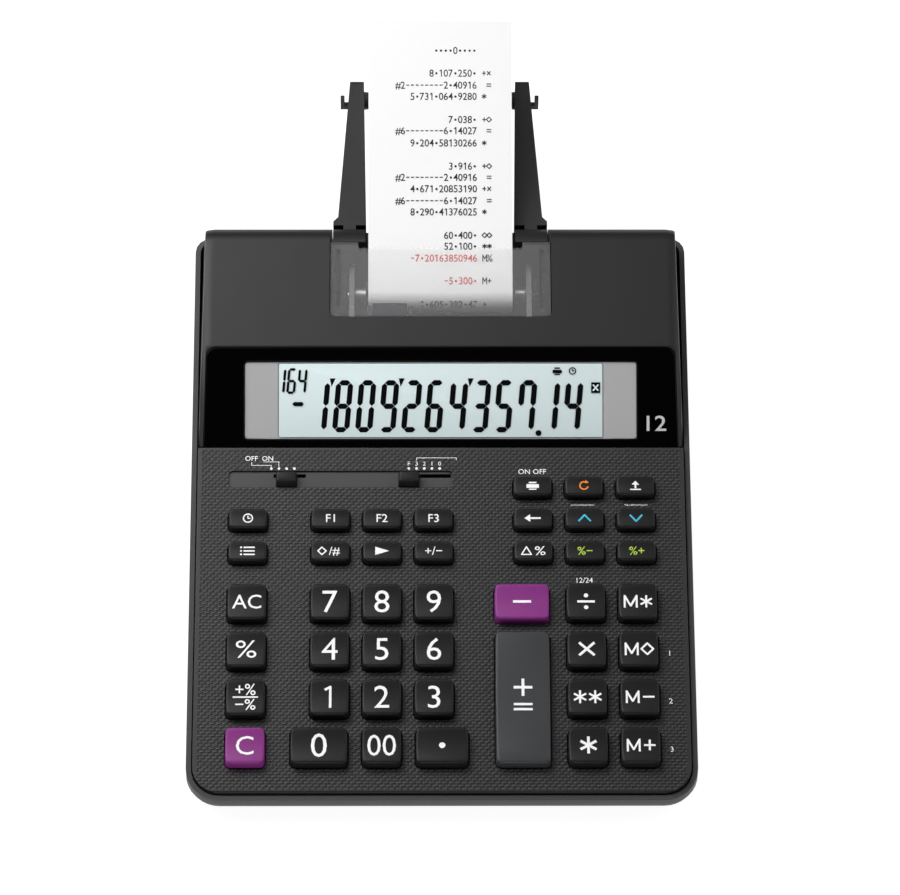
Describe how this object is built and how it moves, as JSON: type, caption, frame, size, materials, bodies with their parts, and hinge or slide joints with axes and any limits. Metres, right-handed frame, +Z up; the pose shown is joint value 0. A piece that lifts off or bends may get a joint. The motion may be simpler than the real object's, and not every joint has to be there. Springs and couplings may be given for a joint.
{
  "type": "printing calculator",
  "caption": "Desk printing calculator: wedge case with sloping keypad, tilted display, smoked tear window, roller printer and a paper roll held behind it on two arms.",
  "frame": {"origin": "centre of the overall footprint, on the surface that the feet stand on", "axes": "+X to the user's right, +Y from the front edge towards the paper roll, +Z up"},
  "size_m": [0.195, 0.3288, 0.0936],
  "materials": {
    "case": "fine textured black",
    "rim": "satin dark grey",
    "gloss": "polished black",
    "display": "satin silver surround with a pale liquid crystal glass",
    "smoke": "clear smoked",
    "key": "satin black",
    "purple": "satin purple",
    "slate": "satin slate grey",
    "paper": "white bond paper",
    "rubber": "ground rubber on a steel shaft",
    "board": "green laminate",
    "steel": "plated sheet steel",
    "ink": "inked felt rubber"
  },
  "bodies": {
    "case": {"upper_case": "case", "lower_case": "rim", "display_window": "gloss", "lcd_panel": "display", "circuit_board": "board", "roll_bracket": "case", "printer_frame": "steel", "paper_strip": "paper"},
    "battery_cover": {"battery_cover": "rim"},
    "tear_window": {"tear_window": "smoke"},
    "roll_arm_left": {"roll_arm_left": "rim"},
    "roll_arm_right": {"roll_arm_right": "rim"},
    "paper_roll": {"paper_roll": "paper"},
    "platen_roller": {"platen_roller": "rubber"},
    "ink_roller": {"ink_roller": "ink"},
    "slider_function": {"slider_function": "key"},
    "slider_decimal": {"slider_decimal": "key"},
    "key_clear": {"key_clear": "purple"},
    "key_markup": {"key_markup": "key"},
    "key_percent": {"key_percent": "key"},
    "key_clear_all": {"key_clear_all": "key"},
    "key_0": {"key_0": "key"},
    "key_1": {"key_1": "key"},
    "key_4": {"key_4": "key"},
    "key_7": {"key_7": "key"},
    "key_00": {"key_00": "key"},
    "key_2": {"key_2": "key"},
    "key_5": {"key_5": "key"},
    "key_8": {"key_8": "key"},
    "key_point": {"key_point": "key"},
    "key_3": {"key_3": "key"},
    "key_6": {"key_6": "key"},
    "key_9": {"key_9": "key"},
    "key_minus": {"key_minus": "purple"},
    "key_plus_equals": {"key_plus_equals": "slate"},
    "key_total": {"key_total": "key"},
    "key_grand_total": {"key_grand_total": "key"},
    "key_multiply": {"key_multiply": "key"},
    "key_divide": {"key_divide": "key"},
    "key_memory_plus": {"key_memory_plus": "key"},
    "key_memory_minus": {"key_memory_minus": "key"},
    "key_memory_subtotal": {"key_memory_subtotal": "key"},
    "key_memory_total": {"key_memory_total": "key"},
    "key_item": {"key_item": "key"},
    "key_time": {"key_time": "key"},
    "key_non_add": {"key_non_add": "key"},
    "key_cost": {"key_cost": "key"},
    "key_shift": {"key_shift": "key"},
    "key_sell": {"key_sell": "key"},
    "key_sign": {"key_sign": "key"},
    "key_margin": {"key_margin": "key"},
    "key_delta_percent": {"key_delta_percent": "key"},
    "key_correct": {"key_correct": "key"},
    "key_print": {"key_print": "key"},
    "key_tax_minus": {"key_tax_minus": "key"},
    "key_up": {"key_up": "key"},
    "key_reprint": {"key_reprint": "key"},
    "key_tax_plus": {"key_tax_plus": "key"},
    "key_down": {"key_down": "key"},
    "key_feed": {"key_feed": "key"}
  },
  "joints": [
    {"name": "press_clear", "type": "slide", "parent": "case", "child": "key_clear", "axis": [0, 0.1288, -0.9917], "range_m": [0, 0.0025], "stiffness_N_per_m": 240, "springref_m": -0.0005},
    {"name": "press_markup", "type": "slide", "parent": "case", "child": "key_markup", "axis": [0, 0.1288, -0.9917], "range_m": [0, 0.0025], "stiffness_N_per_m": 240, "springref_m": -0.0005},
    {"name": "press_percent", "type": "slide", "parent": "case", "child": "key_percent", "axis": [0, 0.1288, -0.9917], "range_m": [0, 0.0025], "stiffness_N_per_m": 240, "springref_m": -0.0005},
    {"name": "press_clear_all", "type": "slide", "parent": "case", "child": "key_clear_all", "axis": [0, 0.1288, -0.9917], "range_m": [0, 0.0025], "stiffness_N_per_m": 240, "springref_m": -0.0005},
    {"name": "press_0", "type": "slide", "parent": "case", "child": "key_0", "axis": [0, 0.1288, -0.9917], "range_m": [0, 0.0025], "stiffness_N_per_m": 240, "springref_m": -0.0005},
    {"name": "press_1", "type": "slide", "parent": "case", "child": "key_1", "axis": [0, 0.1288, -0.9917], "range_m": [0, 0.0025], "stiffness_N_per_m": 240, "springref_m": -0.0005},
    {"name": "press_4", "type": "slide", "parent": "case", "child": "key_4", "axis": [0, 0.1288, -0.9917], "range_m": [0, 0.0025], "stiffness_N_per_m": 240, "springref_m": -0.0005},
    {"name": "press_7", "type": "slide", "parent": "case", "child": "key_7", "axis": [0, 0.1288, -0.9917], "range_m": [0, 0.0025], "stiffness_N_per_m": 240, "springref_m": -0.0005},
    {"name": "press_00", "type": "slide", "parent": "case", "child": "key_00", "axis": [0, 0.1288, -0.9917], "range_m": [0, 0.0025], "stiffness_N_per_m": 240, "springref_m": -0.0005},
    {"name": "press_2", "type": "slide", "parent": "case", "child": "key_2", "axis": [0, 0.1288, -0.9917], "range_m": [0, 0.0025], "stiffness_N_per_m": 240, "springref_m": -0.0005},
    {"name": "press_5", "type": "slide", "parent": "case", "child": "key_5", "axis": [0, 0.1288, -0.9917], "range_m": [0, 0.0025], "stiffness_N_per_m": 240, "springref_m": -0.0005},
    {"name": "press_8", "type": "slide", "parent": "case", "child": "key_8", "axis": [0, 0.1288, -0.9917], "range_m": [0, 0.0025], "stiffness_N_per_m": 240, "springref_m": -0.0005},
    {"name": "press_point", "type": "slide", "parent": "case", "child": "key_point", "axis": [0, 0.1288, -0.9917], "range_m": [0, 0.0025], "stiffness_N_per_m": 240, "springref_m": -0.0005},
    {"name": "press_3", "type": "slide", "parent": "case", "child": "key_3", "axis": [0, 0.1288, -0.9917], "range_m": [0, 0.0025], "stiffness_N_per_m": 240, "springref_m": -0.0005},
    {"name": "press_6", "type": "slide", "parent": "case", "child": "key_6", "axis": [0, 0.1288, -0.9917], "range_m": [0, 0.0025], "stiffness_N_per_m": 240, "springref_m": -0.0005},
    {"name": "press_9", "type": "slide", "parent": "case", "child": "key_9", "axis": [0, 0.1288, -0.9917], "range_m": [0, 0.0025], "stiffness_N_per_m": 240, "springref_m": -0.0005},
    {"name": "press_minus", "type": "slide", "parent": "case", "child": "key_minus", "axis": [0, 0.1288, -0.9917], "range_m": [0, 0.0025], "stiffness_N_per_m": 240, "springref_m": -0.0005},
    {"name": "press_plus_equals", "type": "slide", "parent": "case", "child": "key_plus_equals", "axis": [0, 0.1288, -0.9917], "range_m": [0, 0.0025], "stiffness_N_per_m": 240, "springref_m": -0.0005},
    {"name": "press_total", "type": "slide", "parent": "case", "child": "key_total", "axis": [0, 0.1288, -0.9917], "range_m": [0, 0.0025], "stiffness_N_per_m": 240, "springref_m": -0.0005},
    {"name": "press_grand_total", "type": "slide", "parent": "case", "child": "key_grand_total", "axis": [0, 0.1288, -0.9917], "range_m": [0, 0.0025], "stiffness_N_per_m": 240, "springref_m": -0.0005},
    {"name": "press_multiply", "type": "slide", "parent": "case", "child": "key_multiply", "axis": [0, 0.1288, -0.9917], "range_m": [0, 0.0025], "stiffness_N_per_m": 240, "springref_m": -0.0005},
    {"name": "press_divide", "type": "slide", "parent": "case", "child": "key_divide", "axis": [0, 0.1288, -0.9917], "range_m": [0, 0.0025], "stiffness_N_per_m": 240, "springref_m": -0.0005},
    {"name": "press_memory_plus", "type": "slide", "parent": "case", "child": "key_memory_plus", "axis": [0, 0.1288, -0.9917], "range_m": [0, 0.0025], "stiffness_N_per_m": 240, "springref_m": -0.0005},
    {"name": "press_memory_minus", "type": "slide", "parent": "case", "child": "key_memory_minus", "axis": [0, 0.1288, -0.9917], "range_m": [0, 0.0025], "stiffness_N_per_m": 240, "springref_m": -0.0005},
    {"name": "press_memory_subtotal", "type": "slide", "parent": "case", "child": "key_memory_subtotal", "axis": [0, 0.1288, -0.9917], "range_m": [0, 0.0025], "stiffness_N_per_m": 240, "springref_m": -0.0005},
    {"name": "press_memory_total", "type": "slide", "parent": "case", "child": "key_memory_total", "axis": [0, 0.1288, -0.9917], "range_m": [0, 0.0025], "stiffness_N_per_m": 240, "springref_m": -0.0005},
    {"name": "press_item", "type": "slide", "parent": "case", "child": "key_item", "axis": [0, 0.1288, -0.9917], "range_m": [0, 0.0025], "stiffness_N_per_m": 240, "springref_m": -0.0005},
    {"name": "press_time", "type": "slide", "parent": "case", "child": "key_time", "axis": [0, 0.1288, -0.9917], "range_m": [0, 0.0025], "stiffness_N_per_m": 240, "springref_m": -0.0005},
    {"name": "press_non_add", "type": "slide", "parent": "case", "child": "key_non_add", "axis": [0, 0.1288, -0.9917], "range_m": [0, 0.0025], "stiffness_N_per_m": 240, "springref_m": -0.0005},
    {"name": "press_cost", "type": "slide", "parent": "case", "child": "key_cost", "axis": [0, 0.1288, -0.9917], "range_m": [0, 0.0025], "stiffness_N_per_m": 240, "springref_m": -0.0005},
    {"name": "press_shift", "type": "slide", "parent": "case", "child": "key_shift", "axis": [0, 0.1288, -0.9917], "range_m": [0, 0.0025], "stiffness_N_per_m": 240, "springref_m": -0.0005},
    {"name": "press_sell", "type": "slide", "parent": "case", "child": "key_sell", "axis": [0, 0.1288, -0.9917], "range_m": [0, 0.0025], "stiffness_N_per_m": 240, "springref_m": -0.0005},
    {"name": "press_sign", "type": "slide", "parent": "case", "child": "key_sign", "axis": [0, 0.1288, -0.9917], "range_m": [0, 0.0025], "stiffness_N_per_m": 240, "springref_m": -0.0005},
    {"name": "press_margin", "type": "slide", "parent": "case", "child": "key_margin", "axis": [0, 0.1288, -0.9917], "range_m": [0, 0.0025], "stiffness_N_per_m": 240, "springref_m": -0.0005},
    {"name": "press_delta_percent", "type": "slide", "parent": "case", "child": "key_delta_percent", "axis": [0, 0.1288, -0.9917], "range_m": [0, 0.0025], "stiffness_N_per_m": 240, "springref_m": -0.0005},
    {"name": "press_correct", "type": "slide", "parent": "case", "child": "key_correct", "axis": [0, 0.1288, -0.9917], "range_m": [0, 0.0025], "stiffness_N_per_m": 240, "springref_m": -0.0005},
    {"name": "press_print", "type": "slide", "parent": "case", "child": "key_print", "axis": [0, 0.1288, -0.9917], "range_m": [0, 0.0025], "stiffness_N_per_m": 240, "springref_m": -0.0005},
    {"name": "press_tax_minus", "type": "slide", "parent": "case", "child": "key_tax_minus", "axis": [0, 0.1288, -0.9917], "range_m": [0, 0.0025], "stiffness_N_per_m": 240, "springref_m": -0.0005},
    {"name": "press_up", "type": "slide", "parent": "case", "child": "key_up", "axis": [0, 0.1288, -0.9917], "range_m": [0, 0.0025], "stiffness_N_per_m": 240, "springref_m": -0.0005},
    {"name": "press_reprint", "type": "slide", "parent": "case", "child": "key_reprint", "axis": [0, 0.1288, -0.9917], "range_m": [0, 0.0025], "stiffness_N_per_m": 240, "springref_m": -0.0005},
    {"name": "press_tax_plus", "type": "slide", "parent": "case", "child": "key_tax_plus", "axis": [0, 0.1288, -0.9917], "range_m": [0, 0.0025], "stiffness_N_per_m": 240, "springref_m": -0.0005},
    {"name": "press_down", "type": "slide", "parent": "case", "child": "key_down", "axis": [0, 0.1288, -0.9917], "range_m": [0, 0.0025], "stiffness_N_per_m": 240, "springref_m": -0.0005},
    {"name": "press_feed", "type": "slide", "parent": "case", "child": "key_feed", "axis": [0, 0.1288, -0.9917], "range_m": [0, 0.0025], "stiffness_N_per_m": 240, "springref_m": -0.0005},
    {"name": "slider_function_slide", "type": "slide", "parent": "case", "child": "slider_function", "axis": [1, 0, 0], "range_m": [-0.006, 0.003]},
    {"name": "slider_decimal_slide", "type": "slide", "parent": "case", "child": "slider_decimal", "axis": [1, 0, 0], "range_m": [0, 0.012]},
    {"name": "roll_arm_left_flex", "type": "hinge", "parent": "case", "child": "roll_arm_left", "pos_m": [-0.03601, 0.06857, 0.04696], "axis": [0, 0, 1], "range_deg": [0, 5], "stiffness_Nm_per_rad": 0.2, "springref_deg": -1.72},
    {"name": "roll_arm_right_flex", "type": "hinge", "parent": "case", "child": "roll_arm_right", "pos_m": [0.03601, 0.06857, 0.04696], "axis": [0, 0, -1], "range_deg": [0, 5], "stiffness_Nm_per_rad": 0.2, "springref_deg": -1.72},
    {"name": "roll_spin", "type": "hinge", "parent": "case", "child": "paper_roll", "pos_m": [0, 0.13937, 0.05121], "axis": [1, 0, 0], "continuous": true},
    {"name": "platen_spin", "type": "hinge", "parent": "case", "child": "platen_roller", "pos_m": [0, 0.04668, 0.04571], "axis": [1, 0, 0], "continuous": true},
    {"name": "ink_roller_spin", "type": "hinge", "parent": "case", "child": "ink_roller", "pos_m": [-0.01995, 0.03538, 0.04881], "axis": [1, 0, 0], "continuous": true},
    {"name": "tear_window_lift", "type": "slide", "parent": "case", "child": "tear_window", "axis": [0, 0, 1], "range_m": [0, 0.025]},
    {"name": "battery_cover_hinge", "type": "hinge", "parent": "case", "child": "battery_cover", "pos_m": [-0.05545, -0.01163, 0.0025], "axis": [-1, 0, 0], "range_deg": [0, 90]}
  ],
  "couplings": [
    {"joint": "platen_spin", "follows": "roll_spin", "ratio": 3.9457}
  ]
}
